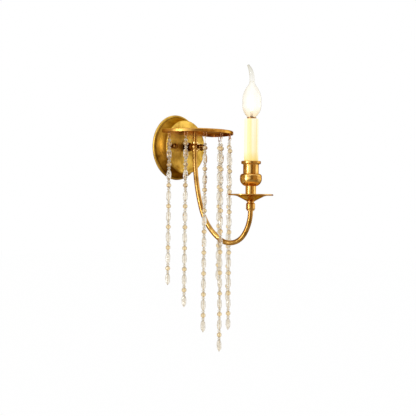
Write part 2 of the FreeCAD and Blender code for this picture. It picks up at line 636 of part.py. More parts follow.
def make_contact():
    """Springy tongue under the bulb's centre contact."""
    floor = CAP_BOTTOM - 3.5
    rivet = rod(1.5, 1.6, floor)
    tongue = Part.makeBox(8.0, 3.0, 0.5, Vector(-4.0, -1.5, floor + 1.6))
    return rivet.fuse([tongue])


# ---- bulb -----------------------------------------------------------------------------------
def make_bulb_cap():
    wall = CAP_WALL
    top = CAP_TOP
    cap = turned([
        (CAP_RADIUS - wall, CAP_BOTTOM + 3.0), (CAP_RADIUS, CAP_BOTTOM + 3.0),
        (CAP_RADIUS, top - CAP_COLLAR_HEIGHT), (CAP_COLLAR_RADIUS, top - CAP_COLLAR_HEIGHT + 0.4),
        (CAP_COLLAR_RADIUS, top), (GLASS_NECK_RADIUS + 0.1, top),
        (GLASS_NECK_RADIUS + 0.1, top - CAP_COLLAR_HEIGHT + 0.6),
        (CAP_RADIUS - wall, top - CAP_COLLAR_HEIGHT - 0.2)])
    return cap


def make_bulb_contact():
    """Glass bead that closes the cap's bottom, with its solder button."""
    r = CAP_RADIUS - CAP_WALL - THREAD_CLEARANCE
    return turned([
        (0, CAP_BOTTOM), (1.6, CAP_BOTTOM), (2.2, CAP_BOTTOM + 1.0), (r - 0.9, CAP_BOTTOM + 2.6),
        (r, CAP_BOTTOM + 2.95), (r, CAP_BOTTOM + 4.4), (0, CAP_BOTTOM + 4.4)])


def envelope(inset, base):
    """The bulb's glass without its bent tip: neck, full belly, and shoulder into the tip."""
    top = CAP_TOP
    neck, belly = GLASS_NECK_RADIUS - inset, GLASS_RADIUS - inset
    over, tip = GLASS_BELLY_TOP_RADIUS - inset, GLASS_SHOULDER_RADIUS - inset
    wide, high, shoulder = top + GLASS_WIDEST, top + GLASS_BELLY_TOP, top + GLASS_SHOULDER
    return turned([
        (0, base), (neck, base), (neck, top + 0.8),
        (belly - 0.22 * (belly - neck), top + 0.40 * GLASS_WIDEST, belly, wide),
        (belly - 0.24 * (belly - over), wide + 0.60 * (high - wide), over, high),
        (tip + 0.26 * (over - tip), high + 0.40 * (shoulder - high), tip, shoulder),
        (0, shoulder)])


def bent_tip(inset):
    """The drawn-out tip: a cone that bends towards the wall."""
    start = CAP_TOP + GLASS_SHOULDER
    wide, fine = GLASS_SHOULDER_RADIUS - inset, TIP_RADIUS - inset * 0.3
    rings = []
    steps = 8
    bend_length = math.radians(TIP_BEND_ANGLE) * TIP_BEND_RADIUS
    total = TIP_STRAIGHT + bend_length
    for k in range(steps + 1):
        s = total * k / steps
        angle = max(0.0, s - TIP_STRAIGHT) / TIP_BEND_RADIUS
        y = TIP_BEND_RADIUS * (1 - math.cos(angle))
        z = start + min(s, TIP_STRAIGHT) + TIP_BEND_RADIUS * math.sin(angle)
        radius = wide + (fine - wide) * (s / total) ** 2
        ahead = Vector(0, math.sin(angle), math.cos(angle))
        rings.append(Part.Wire(Part.makeCircle(radius, Vector(0, y, z), ahead)))
    return Part.makeLoft(rings, True)


def make_glass():
    outer = envelope(0.0, CAP_TOP - CAP_COLLAR_HEIGHT + 0.8).fuse(bent_tip(0.0))
    inner = envelope(GLASS_WALL, CAP_TOP - CAP_COLLAR_HEIGHT - 5)
    return outer.cut(inner)


def make_glass_stem():
    """Flared glass foot inside the neck that carries the filament's wires."""
    b = CAP_TOP - CAP_COLLAR_HEIGHT + 0.9
    r = GLASS_NECK_RADIUS - GLASS_WALL - 0.15
    return turned([(0, b), (r, b), (r, b + 0.8), (3.0, b + 2.6, 2.2, b + 6.0),
                   (2.0, b + 11.0), dome(2.0, b + 11.0, b + GLASS_STEM_HEIGHT)])


def make_filament():
    """Two lead wires and the long upright filament loop between them."""
    b = CAP_TOP - CAP_COLLAR_HEIGHT + 0.9 + GLASS_STEM_HEIGHT
    loop = wire_loop(FILAMENT_WIDTH, FILAMENT_HEIGHT, 2.0, FILAMENT_RADIUS)
    loop = loop.translated(Vector(0, 0, b + FILAMENT_FOOT + FILAMENT_HEIGHT))
    foot = rod(FILAMENT_RADIUS, FILAMENT_FOOT, b + 0.02)
    return loop.fuse(foot)


# ---- strands --------------------------------------------------------------------------------
EYE_TOP = TRAY_UNDER - EYE_STUB
EYE_BOTTOM = EYE_TOP - EYE_HEIGHT
LINK_TOP = EYE_BOTTOM + 2 * HOOK_WIRE_RADIUS + LOOP_CLEARANCE
LINK_BOTTOM = LINK_TOP - LINK_HEIGHT
STRAND_TOP = LINK_BOTTOM + HOOK_WIRE_RADIUS + STRAND_WIRE_RADIUS + LOOP_CLEARANCE


def strand_angle(index):
    """Degrees round the upright tube, from +X. 90 is straight out from the wall."""
    return 180.0 - index * 180.0 / (STRAND_COUNT - 1)


def at_strand(shape, index):
    """Moves a shape from the upright tube's axis, with +X as "outwards", to a strand."""
    spin = Rotation(UP, -strand_angle(index))
    placed = shape.translated(Vector(STRAND_CIRCLE, 0, 0))
    placed.transformShape(Placement(Vector(0, -AXIS_OUT, 0), spin).toMatrix())
    return placed


def make_tray_eye():
    loop = wire_loop(EYE_WIDTH, EYE_HEIGHT, LOOP_CORNER, HOOK_WIRE_RADIUS)
    stub = rod(HOOK_WIRE_RADIUS, EYE_STUB)
    return loop.fuse(stub).translated(Vector(0, 0, EYE_TOP))


def make_link():
    loop = wire_loop(LINK_WIDTH, LINK_HEIGHT, LOOP_CORNER, HOOK_WIRE_RADIUS)
    return loop.rotated(ORIGIN, UP, 90).translated(Vector(0, 0, LINK_TOP))


def make_strand_wire(tip):
    eye = wire_loop(EYE_WIDTH, EYE_HEIGHT, LOOP_CORNER, STRAND_WIRE_RADIUS)
    eye = eye.translated(Vector(0, 0, STRAND_TOP))
    low = tip + END_BALL_RADIUS
    wire = rod(STRAND_WIRE_RADIUS, STRAND_TOP - EYE_HEIGHT - low, low)
    return eye.fuse([wire, Part.makeSphere(END_BALL_RADIUS, Vector(0, 0, low))])


def bead(radius, length, end_radius, flat):
    """A turned bead: flat band round the middle, cones to its two ends, bored through."""
    half, band = length / 2, flat / 2
    bore = STRAND_WIRE_RADIUS + BORE_CLEARANCE
    return turned([(bore, -half), (end_radius, -half), (radius, -band), (radius, band),
                   (end_radius, half), (bore, half)])


def long_bead():
    """The long oval bead: two facets from each end to the band round its middle."""
    half, r = LONG_LENGTH / 2, LONG_RADIUS
    bore = STRAND_WIRE_RADIUS + BORE_CLEARANCE
    return turned([(bore, -half), (0.48 * r, -half), (0.86 * r, -0.66 * half),
                   (r, -0.24 * half), (r, 0.24 * half), (0.86 * r, 0.66 * half),
                   (0.48 * r, half), (bore, half)])


def make_strand(index):
    """Beads from the bottom up. Each repeat is small, gold, small, long, and the lowest long
    bead is the drop."""
    tip = TRAY_BOTTOM - STRAND_LENGTHS[index]
    kinds = ((long_bead(), LONG_LENGTH, "clear"), (SMALL_BEAD, SMALL_LENGTH, "clear"),
             (GOLD_BEAD, GOLD_LENGTH, "gold"), (SMALL_BEAD, SMALL_LENGTH, "clear"))
    beads = {"clear": [], "gold": []}
    z = tip + 2 * END_BALL_RADIUS + STACK_GAP
    for _ in range(GOLD_COUNTS[index]):
        for shape, length, kind in kinds:
            placed = shape.translated(Vector(0, 0, z + length / 2))
            beads[kind].append(at_strand(placed, index))
            z += length + STACK_GAP
    return at_strand(make_strand_wire(tip), index), beads


SMALL_BEAD = bead(SMALL_RADIUS, SMALL_LENGTH, 1.1, 1.0)
GOLD_BEAD = bead(GOLD_RADIUS, GOLD_LENGTH, 1.7, 2.6)


# ---- leads: two insulated wires from the lamp holder to the terminal block ------------------
def make_leads():
    """Each runs down inside the candle, round the arm, and back through the knuckle."""
    up_to = HOLDER_BOTTOM + 4.0
    arm_moves = arm_path()[:-1] + [(up_to - (ARM_END[1] - ARM_RISE),)]
    elbow_end = -AXIS_OUT + ARM_START          # the elbow turns inside the knuckle
    block_hole = -(BRACKET_THICKNESS + BLOCK_SIZE[1] - 3.5)
    leads = []
    for side in (-1, 1):
        x = side * LEAD_OFFSET
        run, _ = bent_tube(arm_moves, (0, -ARM_START), 0, LEAD_RADIUS)
        run = in_arm_frame(run.translated(Vector(x, 0, 0)))
        section = Part.Face(Part.Wire(Part.makeCircle(
            LEAD_RADIUS, Vector(x, elbow_end, 0), Vector(0, 1, 0))))
        straight = section.extrude(Vector(0, block_hole - elbow_end, 0))
        elbow = section.revolve(Vector(0, elbow_end, -ARM_START), Vector(1, 0, 0), 90)
        leads.append(run.fuse([straight, elbow]))
    return leads


# ---- write the nodes ------------------------------------------------------------------------
save("mounting_bracket", make_bracket())
save("bracket_studs", make_studs())
save("terminal_block", make_terminal_block())
save("backplate", make_backplate())
save("cap_nuts", make_cap_nuts())
save("plate_nipple", make_nipple())
save("nipple_nut", make_nipple_nut())
save("boss_collar", make_boss())
save("knuckle", make_knuckle())
save("front_cap", make_front_cap())
save("stem_tube", make_stem())
save("bead_tray", make_tray())
save("tray_nut", make_tray_nut())
save("arm_tube", in_arm_frame(ARM_TUBE))
save("arm_collar", on_candle_axis(make_collar()))
save("threaded_rod", on_candle_axis(make_threaded_rod()))
save("bobeche", on_candle_axis(make_bobeche()))
save("cup_stem", on_candle_axis(make_cup_stem()))
save("candle_cup", on_candle_axis(make_cup()))
save("cup_nut", on_candle_axis(make_cup_nut()))
save("candle_sleeve", on_candle_axis(make_sleeve()))
save("holder_post", on_candle_axis(make_post()))
save("lamp_holder", on_candle_axis(make_holder()))
save("screw_shell", on_candle_axis(make_screw_shell()))
save("holder_contact", on_candle_axis(make_contact()))
save("supply_leads", make_leads())
save("bulb_cap", on_candle_axis(make_bulb_cap()))
save("bulb_contact", on_candle_axis(make_bulb_contact()))
save("bulb_glass", on_candle_axis(make_glass()))
save("glass_stem", on_candle_axis(make_glass_stem()))
save("filament", on_candle_axis(make_filament()))
save("tray_eyes", [at_strand(make_tray_eye(), k) for k in range(STRAND_COUNT)])
for k in range(STRAND_COUNT):
    wire, beads = make_strand(k)
    save("hanging_link_%d" % (k + 1), at_strand(make_link(), k))
    save("strand_%d_wire" % (k + 1), wire)
    save("strand_%d_gold_beads" % (k + 1), beads["gold"])
    save("strand_%d_clear_beads" % (k + 1), beads["clear"])

# sizes that the record repeats
print("candle axis", ARM_FRAME.multVec(Vector(0, -REACH, 0)), "reach %.3f" % REACH)
print("heights: collar %.2f dish %.2f rim %.2f bowl %.2f lip %.2f sleeve %.2f bulb cap %.2f" % (
    COLLAR_BOTTOM, DISH_BOTTOM, RIM_TOP, BOWL_BOTTOM, LIP_TOP, SLEEVE_TOP, CAP_TOP))
for k in range(STRAND_COUNT):
    a = math.radians(strand_angle(k))
    print("strand %d at (%.4f, %.4f), link z %.3f, strand z %.3f" % (
        k + 1, STRAND_CIRCLE * math.cos(a), -AXIS_OUT - STRAND_CIRCLE * math.sin(a),
        LINK_TOP, STRAND_TOP))
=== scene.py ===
# %% [markdown]
# # A crystal wall sconce in satin brass
# The real lamp is a small brass wall light. A round plate sits on the wall, a knuckle on its
# front carries a J-shaped arm with an electric candle, and a little half-round tray above the
# knuckle carries seven strands of cut-glass beads. The solids come ready made from the CAD
# model, at their real size. This script gives them their finishes, cuts the beads' facets,
# and sets up the camera, the lamps and the white backdrop.

# %% Load the solid model as a fixed frame
import math

import bmesh
import bpy
from mathutils import Matrix, Vector


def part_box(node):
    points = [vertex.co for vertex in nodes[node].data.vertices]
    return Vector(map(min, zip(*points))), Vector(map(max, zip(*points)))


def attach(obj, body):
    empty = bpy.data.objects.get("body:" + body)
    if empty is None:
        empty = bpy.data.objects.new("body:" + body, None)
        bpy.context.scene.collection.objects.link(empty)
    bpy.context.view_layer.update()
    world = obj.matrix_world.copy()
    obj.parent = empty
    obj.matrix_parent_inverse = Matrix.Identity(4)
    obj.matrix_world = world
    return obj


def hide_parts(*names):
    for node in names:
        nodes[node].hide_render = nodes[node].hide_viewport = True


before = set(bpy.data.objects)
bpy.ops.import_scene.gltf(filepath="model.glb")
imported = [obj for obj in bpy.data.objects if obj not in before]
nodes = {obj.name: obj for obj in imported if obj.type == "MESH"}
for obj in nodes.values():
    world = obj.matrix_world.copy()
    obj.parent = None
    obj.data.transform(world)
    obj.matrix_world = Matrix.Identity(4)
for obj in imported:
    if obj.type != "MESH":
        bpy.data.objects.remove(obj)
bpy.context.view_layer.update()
MM = 0.001
print("CAD nodes:", len(nodes))

# %% [markdown]
# ## The camera
# The photograph was taken from the lamp's left front, level with the middle of the strands,
# and from about a metre and a half. The place, the lens and the small roll were worked out by
# fitting one perspective to the tray's rim, the plate's rim, the strands and the candle. The
# horizon lies a little above the middle of the frame, which a vertical shift of the lens gives.

# %% The camera
CAMERA_PLACE = Vector((-1040.4, -1065.2, -99.3)) * MM
CAMERA_HEADING = math.radians(46.58)      # from +Y towards +X
LENS_MM = 72.2                            # on the default 36 mm sensor
CAMERA_ROLL = math.radians(0.7)
HORIZON_SHIFT = -0.0099

lens = bpy.data.cameras.new("camera")
lens.lens = LENS_MM
lens.shift_y = HORIZON_SHIFT
lens.clip_start, lens.clip_end = 0.01, 30.0
camera = bpy.data.objects.new("camera", lens)
bpy.context.scene.collection.objects.link(camera)
camera.matrix_world = (
    Matrix.Translation(CAMERA_PLACE)
    @ Matrix.Rotation(-CAMERA_HEADING, 4, "Z")
    @ Matrix.Rotation(math.radians(90), 4, "X")
    @ Matrix.Rotation(CAMERA_ROLL, 4, "Z"))
bpy.context.scene.camera = camera
print("camera looks along", [round(v, 4) for v in -camera.matrix_world.col[2].xyz])

# %% [markdown]
# ## Helpers for node trees
# Colours are written as sRGB hex values, but Blender's sockets want linear light, so one
# function turns one into the other. Every node is added by one function too: it takes the
# node's type and its settings by name, and a setting that is an output socket becomes a link.
# A colour ramp also gets its stops there, as pairs of a place from 0 to 1 and a colour.

# %% Colour and node helpers
WHITE = "#FFFFFF"


def linear(hex_colour):
    """An sRGB hex colour such as "#C8963A" as linear red, green, blue and a full alpha."""
    levels = [int(hex_colour[i:i + 2], 16) / 255 for i in (1, 3, 5)]
    return [v / 12.92 if v <= 0.04045 else ((v + 0.055) / 1.055) ** 2.4 for v in levels] + [1.0]


def add_node(tree, kind, settings, stops=()):
    """Adds a node. A setting names an input socket or a property, and a socket is linked."""
    node = tree.nodes.new(kind)
    for name, value in settings.items():
        socket = node.inputs.get(name) if isinstance(name, str) else node.inputs[name]
        if isinstance(value, bpy.types.NodeSocket):
            tree.links.new(value, socket)
        elif socket is not None:
            socket.default_value = value
        else:
            setattr(node, name, value)
    if stops:
        ramp = node.color_ramp.elements
        ramp[0].position, ramp[1].position = stops[0][0], stops[-1][0]
        ramp[0].color, ramp[1].color = linear(stops[0][1]), linear(stops[-1][1])
        for place, tone in stops[1:-1]:
            ramp.new(place).color = linear(tone)
    return node


def new_material(name):
    """An empty node material and its tree, with the Principled shader already at its output."""
    material = bpy.data.materials.new(name)
    material.use_nodes = True
    tree = material.node_tree
    return material, tree, tree.nodes["Principled BSDF"]


# %% [markdown]
# ## Satin brass
# Brass is copper with a third of zinc. Here it is turned, spun or drawn, then satin polished,
# toned down a little and lacquered, which leaves fine rings round each part's own axis and
# soft clouds of deeper colour. The rings could be drawn with a picture, but a noise that only
# sees the distance from the lathe's axis and the place along it makes them for any part, so
# one function makes every brass here. Real tool marks are about 0.15 mm apart, too fine for
# the render, so they are drawn 1.2 mm apart.
#
# The plate's colour follows its depth: the hollow between the face and the rim is painted
# darker, as painted shade, and its step darker still, while the face and the rim keep the
# plain brass. A metal turns white where it is seen at a slant. The lacquer keeps these
# reflections brass coloured, which the shader's specular tint does.

# %% The sizes and tones of the brass
TOOL_MARK = 1.2 * MM                # from one turned ring to the next
RING_HEIGHT = 0.06 * MM
RIPPLE = 9 * MM                     # shallow waves that hand polishing leaves
RIPPLE_HEIGHT = 0.5 * MM
CLOUD = 22 * MM                     # patches of deeper tone
CLOUD_FROM, CLOUD_TO = 0.34, 0.62   # the noise values between which deep turns to light
SMOOTHER, ROUGHER = 0.06, 0.09      # how far the roughness strays between two rings
SLANT_TINT = "#D9A95C"              # reflections at a slant stay brass coloured under the lacquer

TRAY_TONES = "#E0B05C", "#B07A34"   # light and deep
PLATE_TONES = "#EEC75E", "#AC8434"  # a little yellower
# painted light: the knuckle's tones are a lighter copy of the brass, so its facets read bright
LIT_KNUCKLE_TONES = "#FFE09A", "#D09C50"
CANDLE_TONES = "#EABF70", "#BC8840"
TUBE_TONES = "#DDB062", "#A87C38"
SHADED_TONES = "#96682F", "#5A3A1A"   # painted shade: a darker copy of the brass for the collar, the cap nuts and the front cap

COVE_SHADE, STEP_SHADE = "#B39C76", "#6E522E"  # painted shade in the plate's hollow, and darker painted shade in its step
PAINTED_SHADE_STOPS = (                     # the wall at 0, the plate's front at 1; WHITE is plain brass
    (0.0, WHITE), (0.03, WHITE), (0.2, COVE_SHADE), (0.76, COVE_SHADE), (0.8, STEP_SHADE), (0.85, WHITE),
    (1.0, WHITE))
print("tool marks drawn", round(TOOL_MARK / MM, 2), "mm apart")

# %% [markdown]
# Three noises make the finish. One sees only the radius and the place along the axis, so it
# draws rings, in the surface and in its roughness. One clouds the colour, and one raises the
# shallow waves that hand polishing leaves.

# %% Satin brass, turned about an axis
def satin_brass(name, axis_point, lies_down, tones, rough, ring_depth, ripple=0.5, hollow=0.0):
    """Brass turned about a line through axis_point, along Z, or along Y if it lies down."""
    material, tree, shader = new_material(name)
    place = add_node(tree, "ShaderNodeTexCoord", {}).outputs["Object"]
    centred = add_node(tree, "ShaderNodeVectorMath",
                       {"operation": "SUBTRACT", 0: place, 1: axis_point})
    split = add_node(tree, "ShaderNodeSeparateXYZ", {0: centred.outputs[0]})
    along, across = ("Y", "Z") if lies_down else ("Z", "Y")
    squares = [add_node(tree, "ShaderNodeMath", {
        "operation": "POWER", 0: split.outputs[side], 1: 2}) for side in ("X", across)]
    total = add_node(tree, "ShaderNodeMath", {
        "operation": "ADD", 0: squares[0].outputs[0], 1: squares[1].outputs[0]})
    radius = add_node(tree, "ShaderNodeMath", {"operation": "SQRT", 0: total.outputs[0]})
    ring = add_node(tree, "ShaderNodeCombineXYZ",
                    {"X": radius.outputs[0], "Y": split.outputs[along]})
    marks = add_node(tree, "ShaderNodeTexNoise", {
        "Vector": ring.outputs[0], "Scale": 1 / TOOL_MARK, "Detail": 3.0, "Roughness": 0.6})
    clouds = add_node(tree, "ShaderNodeTexNoise", {
        "Vector": place, "Scale": 1 / CLOUD, "Detail": 3.0, "Roughness": 0.55, "Distortion": 0.6})
    light, deep = tones
    colour = add_node(tree, "ShaderNodeValToRGB", {0: clouds.outputs["Fac"]},
                      stops=((CLOUD_FROM, deep), (CLOUD_TO, light))).outputs["Color"]
    # Painted shade: over the depth given as hollow, the colour is multiplied darker in the
    # plate's hollow and darker still in its step.
    if hollow:
        depth = add_node(tree, "ShaderNodeMapRange", {
            "Value": split.outputs[along], "From Min": -hollow, "From Max": 0.0})
        shade = add_node(tree, "ShaderNodeValToRGB", {0: depth.outputs["Result"]},
                         stops=PAINTED_SHADE_STOPS)
        colour = add_node(tree, "ShaderNodeMix", {
            "data_type": "RGBA", "blend_type": "MULTIPLY", 0: 1.0,
            6: colour, 7: shade.outputs["Color"]}).outputs[2]
    tree.links.new(colour, shader.inputs["Base Color"])
    roughness = add_node(tree, "ShaderNodeMapRange", {
        "Value": marks.outputs["Fac"], "To Min": rough - SMOOTHER, "To Max": rough + ROUGHER})
    tree.links.new(roughness.outputs["Result"], shader.inputs["Roughness"])
    polish = add_node(tree, "ShaderNodeTexNoise", {
        "Vector": place, "Scale": 1 / RIPPLE, "Detail": 1.5, "Distortion": 0.4})
    waves = add_node(tree, "ShaderNodeBump", {
        "Height": polish.outputs["Fac"], "Strength": ripple, "Distance": RIPPLE_HEIGHT})
    bump = add_node(tree, "ShaderNodeBump", {
        "Height": marks.outputs["Fac"], "Strength": ring_depth, "Distance": RING_HEIGHT,
        "Normal": waves.outputs["Normal"]})
    tree.links.new(bump.outputs["Normal"], shader.inputs["Normal"])
    shader.inputs["Specular Tint"].default_value = linear(SLANT_TINT)
    shader.inputs["Metallic"].default_value = 1.0
    return material


# %% [markdown]
# Each group of parts was finished on its own axis. The plate, the knuckle and what sits on
# them were turned about the line that comes straight out of the wall, the tray about its
# stem, and the parts round the candle about the candle. The arm is a drawn tube, which hardly
# has any marks, so its rings are the faintest. The knuckle's brass is painted lighter, as
# painted light, and the cap nuts, the collar and the front cap are painted darker, as painted
# shade.

# %% The brasses, one for each axis and tone
def upright_axis(node):
    """The place of a part's own upright axis, from the middle of its box."""
    low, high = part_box(node)
    return ((low.x + high.x) / 2, (low.y + high.y) / 2, 0)


PLATE_AXIS = (0, 0, 0)
TRAY_AXIS, CANDLE_AXIS = upright_axis("stem_tube"), upright_axis("candle_sleeve")
TUBE_AXIS = (0, 0, 5.0)             # the height only picks a stretch of the noise
PLATE_DEPTH = -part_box("backplate")[0].y

# The plate's brass is painted with shade that follows its depth, darker in its hollow and step.
plate_brass = satin_brass("spun_satin_brass_plate_painted_shade", PLATE_AXIS, True, PLATE_TONES,
                          rough=0.42, ring_depth=0.3, ripple=1.0, hollow=PLATE_DEPTH)
# Painted light: the knuckle gets a lighter copy of the brass.
lit_knuckle_brass = satin_brass("turned_satin_brass_knuckle_painted_light", PLATE_AXIS, True, LIT_KNUCKLE_TONES,
                            rough=0.22, ring_depth=0.2)
# Painted shade: the collar, the cap nuts and the front cap get a darker copy of the brass.
shaded_brass = satin_brass("painted_shade_brass", PLATE_AXIS, True, SHADED_TONES,
                         rough=0.2, ring_depth=0.2)
tray_brass = satin_brass("spun_satin_brass_tray", TRAY_AXIS, False, TRAY_TONES,
                         rough=0.27, ring_depth=0.35)
candle_brass = satin_brass("turned_satin_brass_candle", CANDLE_AXIS, False, CANDLE_TONES,
                           rough=0.17, ring_depth=0.25)
tube_brass = satin_brass("drawn_satin_brass_tube", TUBE_AXIS, False, TUBE_TONES,
                         rough=0.2, ring_depth=0.1)
print("candle axis at", [round(v / MM, 2) for v in CANDLE_AXIS[:2]])

# %% [markdown]
# ## Steel, wire and pressed brass
# The parts inside are plainer. Zinc-plated steel has a pale grey crystal pattern, and the
# holder's shell is bright pressed brass. The hooks are copper coloured and slightly brown with
# age, while the wire through the beads is a pale brass that hardly shows inside the glass. The
# bulb's cap is nickel plated, and the heat has browned it. One function makes each from two
# tones, a grain size and a roughness.

# %% Plain metals
PATCH_SMOOTHER, PATCH_ROUGHER = 0.05, 0.1      # how far a patch's roughness strays


def plain_metal(name, light, deep, grain, rough):
    """A metal of two close tones in patches of one grain size."""
    material, tree, shader = new_material(name)
    place = add_node(tree, "ShaderNodeTexCoord", {}).outputs["Object"]
    patches = add_node(tree, "ShaderNodeTexNoise", {
        "Vector": place, "Scale": 1 / grain, "Detail": 4.0, "Roughness": 0.6})
    colour = add_node(tree, "ShaderNodeValToRGB", {0: patches.outputs["Fac"]},
                      stops=((0.0, deep), (1.0, light)))
    tree.links.new(colour.outputs["Color"], shader.inputs["Base Color"])
    spread = add_node(tree, "ShaderNodeMapRange", {
        "Value": patches.outputs["Fac"], "To Min": rough - PATCH_SMOOTHER,
        "To Max": rough + PATCH_ROUGHER})
    tree.links.new(spread.outputs["Result"], shader.inputs["Roughness"])
    shader.inputs["Metallic"].default_value = 1.0
    return material


zinc_steel = plain_metal("zinc_plated_steel", "#C9CCCC", "#9EA3A6", 3 * MM, 0.35)
pressed_brass = plain_metal("pressed_brass", "#DDB866", "#B98E3C", 5 * MM, 0.25)
copper_wire = plain_metal("aged_copper_wire", "#D9A67C", "#A06A45", 2 * MM, 0.3)
strand_wire = plain_metal("pale_brass_wire", "#F2E6CC", "#CFBC94", 2 * MM, 0.35)
nickel_cap = plain_metal("nickel_plated_cap", "#C9A070", "#9A6A40", 3 * MM, 0.45)

FILAMENT_LIGHT, FILAMENT_GLOW = "#FFE9B0", 3.0
tungsten = plain_metal("tungsten", "#A7A29A", "#7C7770", 2 * MM, 0.4)
hot = tungsten.node_tree.nodes["Principled BSDF"].inputs
hot["Emission Color"].default_value = linear(FILAMENT_LIGHT)
hot["Emission Strength"].default_value = FILAMENT_GLOW

# %% [markdown]
# ## Moulded plastics and insulation
# The lamp holder and the terminal block are moulded in a heat-proof plastic, off white with
# a faint orange-peel skin. The leads have a soft cream insulation. The black glass round the
# bulb's contact is made by the same function, only much smoother.

# %% Plastics
TONE_PATCH = 8 * MM                 # from one slightly deeper patch to the next
PEEL, PEEL_HEIGHT, PEEL_STRENGTH = 0.6 * MM, 0.03 * MM, 0.2     # the orange peel's grain


def moulded(name, light, deep, rough):
    """A moulded plastic: nearly even colour, and a fine orange-peel skin."""
    material, tree, shader = new_material(name)
    place = add_node(tree, "ShaderNodeTexCoord", {}).outputs["Object"]
    tone = add_node(tree, "ShaderNodeTexNoise", {"Vector": place, "Scale": 1 / TONE_PATCH})
    colour = add_node(tree, "ShaderNodeValToRGB", {0: tone.outputs["Fac"]},
                      stops=((0.0, deep), (1.0, light)))
    tree.links.new(colour.outputs["Color"], shader.inputs["Base Color"])
    peel = add_node(tree, "ShaderNodeTexNoise", {"Vector": place, "Scale": 1 / PEEL})
    bump = add_node(tree, "ShaderNodeBump", {
        "Height": peel.outputs["Fac"], "Strength": PEEL_STRENGTH, "Distance": PEEL_HEIGHT})
    tree.links.new(bump.outputs["Normal"], shader.inputs["Normal"])
    shader.inputs["Roughness"].default_value = rough
    return material


white_plastic = moulded("moulded_white_plastic", "#F0ECE2", "#E4DED0", 0.4)
lead_insulation = moulded("lead_insulation", "#EADFC2", "#DCCDA6", 0.45)
black_glass = moulded("black_glass_insulator", "#16161A", "#0C0C0E", 0.1)

# %% [markdown]
# ## The glowing candle and its bulb
# The candle is a thin tube of pale resin with the lamp's light coming through it, so it glows
# cream with soft upright streaks, deeper yellow at its foot where less light reaches. The
# light is an emission colour on the resin itself, with a noise that is stretched upright for
# the streaks. The bulb is clear glass blown to a flame with a bent tip. It glows a little at
# its foot, near the filament, and the glow fades towards the tip, which is thick and grey.

# %% Candle resin and bulb glass
STREAK_WIDTH = 8 * MM
STREAK_PLACE = (0.7, 0.3, 0.0)          # moves the noise until a yellow streak faces the camera
STREAK_SQUASH = (1.0, 1.0, 0.03)        # the noise hardly changes with height
STREAK_TONES = "#F4E3A2", "#FFFCF2"
STREAK_FROM, STREAK_TO = 0.40, 0.56     # the noise values between which one turns to the other
FOOT_TINT, FOOT_HEIGHT = "#F2DC78", 16 * MM
RESIN, RESIN_GLOW = "#C9BC8A", 0.64
CUP_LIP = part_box("candle_cup")[1].z


def candle_resin():
    """Pale resin that is lit from inside."""
    material, tree, shader = new_material("candle_resin")
    place = add_node(tree, "ShaderNodeTexCoord", {}).outputs["Object"]
    stretched = add_node(tree, "ShaderNodeMapping", {
        "Vector": place, "Location": STREAK_PLACE, "Scale": STREAK_SQUASH})
    streaks = add_node(tree, "ShaderNodeTexNoise", {
        "Vector": stretched.outputs[0], "Scale": 1 / STREAK_WIDTH, "Detail": 1.0})
    yellow, cream = STREAK_TONES
    glow = add_node(tree, "ShaderNodeValToRGB", {0: streaks.outputs["Fac"]},
                    stops=((STREAK_FROM, yellow), (STREAK_TO, cream)))
    split = add_node(tree, "ShaderNodeSeparateXYZ", {0: place})
    foot = add_node(tree, "ShaderNodeMapRange", {
        "Value": split.outputs["Z"], "From Min": CUP_LIP, "From Max": CUP_LIP + FOOT_HEIGHT})
    shade = add_node(tree, "ShaderNodeValToRGB", {0: foot.outputs["Result"]},
                     stops=((0.0, FOOT_TINT), (1.0, WHITE)))
    lit = add_node(tree, "ShaderNodeMix", {
        "data_type": "RGBA", "blend_type": "MULTIPLY", 0: 1.0,
        6: glow.outputs["Color"], 7: shade.outputs["Color"]})
    tree.links.new(lit.outputs[2], shader.inputs["Emission Color"])
    shader.inputs["Emission Strength"].default_value = RESIN_GLOW
    shader.inputs["Base Color"].default_value = linear(RESIN)
    shader.inputs["Roughness"].default_value = 0.4
    return material


FACING_TINT = "#FFFEFB"
BULB_LIGHT = "#FFF8EA"
BULB_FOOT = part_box("candle_sleeve")[1].z    # where the bulb comes out of the candle
BULB_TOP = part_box("bulb_glass")[1].z
TIP_SHARE = 0.62                            # where on that height the tip's tint begins


def flame_glass(name, edge_tint, foot_tint, foot_share, tip_tint, glow):
    """Clear glass that looks deeper where the eye meets its wall at a slant, and at its ends."""
    material, tree, shader = new_material(name)
    place = add_node(tree, "ShaderNodeTexCoord", {}).outputs["Object"]
    split = add_node(tree, "ShaderNodeSeparateXYZ", {0: place})
    slant = add_node(tree, "ShaderNodeLayerWeight", {"Blend": 0.5})
    edge = add_node(tree, "ShaderNodeValToRGB", {0: slant.outputs["Facing"]},
                    stops=((0.0, FACING_TINT), (1.0, edge_tint)))
    rise = add_node(tree, "ShaderNodeMapRange", {
        "Value": split.outputs["Z"], "From Min": BULB_FOOT, "From Max": BULB_TOP})
    ends = add_node(tree, "ShaderNodeValToRGB", {0: rise.outputs["Result"]}, stops=(
        (0.0, foot_tint), (foot_share, WHITE), (TIP_SHARE, WHITE), (1.0, tip_tint)))
    tint = add_node(tree, "ShaderNodeMix", {
        "data_type": "RGBA", "blend_type": "MULTIPLY", 0: 1.0,
        6: edge.outputs["Color"], 7: ends.outputs["Color"]})
    tree.links.new(tint.outputs[2], shader.inputs["Base Color"])
    shader.inputs["Emission Color"].default_value = linear(BULB_LIGHT)
    light = add_node(tree, "ShaderNodeMapRange", {
        "Value": rise.outputs["Result"], "To Min": glow, "To Max": 0.0})
    tree.links.new(light.outputs["Result"], shader.inputs["Emission Strength"])
    shader.inputs["Roughness"].default_value = 0.02
    shader.inputs["Specular IOR Level"].default_value = 0.3
    shader.inputs["IOR"].default_value = 1.5
    shader.inputs["Transmission Weight"].default_value = 1.0
    return material


